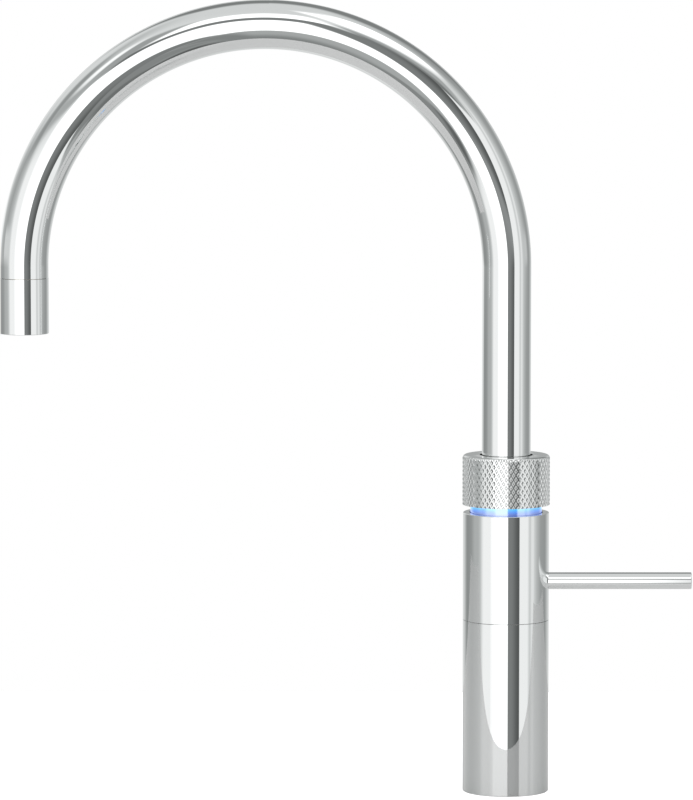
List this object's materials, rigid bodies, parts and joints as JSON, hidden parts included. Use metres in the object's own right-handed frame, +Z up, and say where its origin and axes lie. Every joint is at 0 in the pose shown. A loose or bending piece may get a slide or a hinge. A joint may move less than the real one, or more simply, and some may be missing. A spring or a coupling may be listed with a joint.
{
  "type": "boiling water tap",
  "caption": "Worktop mixer tap that also gives boiling water: round body, side lever, knurled ring knob over a light ring, and a half-circle swivelling swan neck.",
  "frame": {"origin": "centre of the base's underside, on the worktop surface, over the middle of the tap hole", "axes": "+Z up out of the worktop; the mixer lever points along +X and the swan neck reaches over -X"},
  "size_m": [0.3214, 0.052, 0.4306],
  "materials": {
    "chrome": "polished",
    "brass": "machined",
    "steel": "bright",
    "rubber": "matt",
    "acetal": "moulded",
    "ceramic": "lapped",
    "board": "solder mask",
    "light": "clear, lit from below"
  },
  "bodies": {
    "root": {"base_shell": "chrome", "base_gasket": "rubber", "threaded_shank": "brass", "fixing_washer_rubber": "rubber", "fixing_washer_steel": "steel", "fixing_nut": "brass", "cold_inlet": "brass", "hot_inlet": "brass", "boiling_inlet": "brass", "valve_block": "brass", "valve_cover": "brass", "fixed_disc": "ceramic", "inner_frame": "brass", "glide_ring_lower": "acetal", "glide_ring_upper": "acetal", "light_board": "board", "light_ring": "light", "riser_column": "brass", "neck_o_ring_lower": "rubber", "neck_o_ring_upper": "rubber", "neck_clip": "steel", "boiling_riser": "steel", "boiling_pipe_seal": "rubber", "boiling_valve_spring": "steel"},
    "spout": {"swan_neck": "chrome", "outlet_coupling": "brass", "outlet_cap": "chrome", "outlet_insert": "acetal", "outlet_gasket": "rubber", "boiling_pipe": "steel", "neck_bush_lower": "acetal", "neck_bush_upper": "acetal"},
    "boil_drive": {"drive_sleeve": "acetal", "cam_ring": "acetal", "knob_spring": "steel"},
    "knob": {"control_knob": "chrome"},
    "valve_stem": {"boiling_valve_stem": "steel", "stem_seal": "rubber"},
    "mixer": {"mixer_sleeve": "chrome", "moving_disc": "ceramic", "lever_pin": "steel"},
    "lever": {"lever_rod": "chrome"},
    "flow_slide": {"flow_collar": "brass"}
  },
  "joints": [
    {"name": "spout_swivel", "type": "hinge", "parent": "root", "child": "spout", "pos_m": [0, 0, 0.135], "axis": [0, 0, 1], "continuous": true},
    {"name": "knob_turn", "type": "hinge", "parent": "root", "child": "boil_drive", "pos_m": [0, 0, 0.14], "axis": [0, 0, 1], "range_deg": [0, 90]},
    {"name": "knob_press", "type": "slide", "parent": "boil_drive", "child": "knob", "axis": [0, 0, -1], "range_m": [0, 0.003], "stiffness_N_per_m": 3000, "springref_m": -0.003, "deforming": ["knob_spring"]},
    {"name": "boiling_valve_lift", "type": "slide", "parent": "root", "child": "valve_stem", "axis": [0, 0, 1], "range_m": [-0.0021, 0], "deforming": ["boiling_valve_spring"]},
    {"name": "mixer_turn", "type": "hinge", "parent": "root", "child": "mixer", "pos_m": [0, 0, 0.1], "axis": [0, 0, 1], "range_deg": [-45, 45]},
    {"name": "lever_tilt", "type": "hinge", "parent": "mixer", "child": "lever", "pos_m": [0.0184, 0, 0.0986], "axis": [0, -1, 0], "range_deg": [0, 12]},
    {"name": "flow_slide", "type": "slide", "parent": "mixer", "child": "flow_slide", "axis": [0, 0, 1], "range_m": [-0.0011, 0]}
  ],
  "couplings": [
    {"joint": "boiling_valve_lift", "follows": "knob_turn", "m_per_rad": -0.0012732},
    {"joint": "flow_slide", "follows": "lever_tilt", "m_per_rad": -0.004765}
  ]
}
